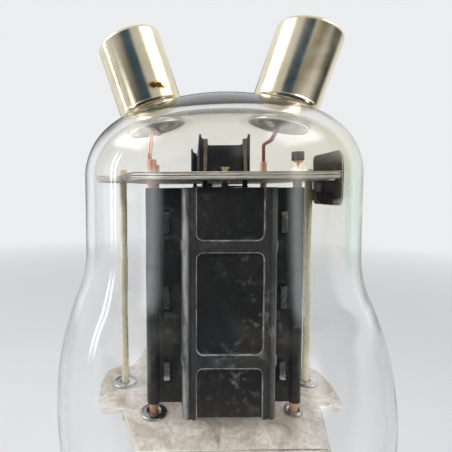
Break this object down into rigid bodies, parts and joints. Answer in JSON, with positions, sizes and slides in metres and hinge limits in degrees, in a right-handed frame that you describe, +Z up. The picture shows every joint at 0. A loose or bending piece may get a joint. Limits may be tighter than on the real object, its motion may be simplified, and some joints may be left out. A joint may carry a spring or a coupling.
{
  "type": "twin triode valve",
  "caption": "Vacuum valve with two triodes in a clear shouldered glass bulb, V-set top caps for the anodes and a moulded plug-in pin base.",
  "frame": {"origin": "on the tube axis at the level of the pin tips", "axes": "+Z up along the tube axis, -Y towards the front anode, +X towards the right cap"},
  "size_m": [0.0444, 0.0444, 0.1156],
  "materials": {
    "bulb_glass": "clear blown glass, faint amber film on the crown",
    "stem_glass": "clear pressed glass",
    "base_phenolic": "moulded black phenolic, satin",
    "basing_cement": "dry basing cement",
    "cap_metal": "polished, pale gold plated, with small tarnish spots",
    "pin_metal": "tinned brass, satin",
    "lead_copper": "copper wire with a pink oxide sheath",
    "rod_copper": "bare copper, satin",
    "mica": "split sheet, mottled and semi gloss",
    "support_nickel": "drawn nickel, pale gold",
    "lead_nickel": "drawn nickel wire",
    "eyelet_nickel": "bright nickel",
    "anode_carbon": "carbonised nickel sheet, satin black",
    "fin_black": "blackened nickel sheet",
    "grid_metal": "drawn wire",
    "cathode_nickel": "nickel sleeve",
    "oxide_white": "matt white oxide",
    "getter_dark": "dark glossy heat stained nickel",
    "collar_grey": "dull grey metal",
    "bead_white": "rough white cement"
  },
  "bodies": {
    "root": {"bulb": "bulb_glass", "stem": "stem_glass", "exhaust_tube": "stem_glass", "base_shell": "base_phenolic", "base_cement": "basing_cement", "cap_left": "cap_metal", "cap_right": "cap_metal", "cap_cement_left": "basing_cement", "cap_cement_right": "basing_cement", "anode_lead_left": "lead_copper", "anode_lead_right": "lead_copper", "mica_top": "mica", "mica_lower": "mica", "support_left": "support_nickel", "support_right": "support_nickel", "support_foot_left": "lead_nickel", "support_foot_right": "lead_nickel", "getter_plate": "getter_dark", "getter_strap": "lead_nickel", "rod_collar": "collar_grey", "cement_bead": "bead_white", "lead_heater_a": "lead_nickel", "lead_heater_b": "lead_nickel", "lead_cathode": "lead_nickel", "lead_grid_front": "lead_nickel", "lead_grid_rear": "lead_nickel", "pin_1": "pin_metal", "pin_2": "pin_metal", "pin_3": "pin_metal", "pin_4": "pin_metal", "pin_5": "pin_metal", "pin_6": "pin_metal", "pin_7": "pin_metal", "rod_front_left": "rod_copper", "eyelet_front_left": "eyelet_nickel", "rod_front_right": "rod_copper", "eyelet_front_right": "eyelet_nickel", "anode_front_outer": "anode_carbon", "anode_front_inner": "anode_carbon", "grid_rods_front": "grid_metal", "grid_winding_front": "grid_metal", "grid_fin_front": "fin_black", "cathode_front": "cathode_nickel", "coating_front": "oxide_white", "heater_front": "oxide_white", "rod_rear_left": "rod_copper", "eyelet_rear_left": "eyelet_nickel", "rod_rear_right": "rod_copper", "eyelet_rear_right": "eyelet_nickel", "anode_rear_outer": "anode_carbon", "anode_rear_inner": "anode_carbon", "grid_rods_rear": "grid_metal", "grid_winding_rear": "grid_metal", "grid_fin_rear": "fin_black", "cathode_rear": "cathode_nickel", "coating_rear": "oxide_white", "heater_rear": "oxide_white", "eyelet_support_left": "eyelet_nickel", "eyelet_support_right": "eyelet_nickel"}
  },
  "joints": []
}
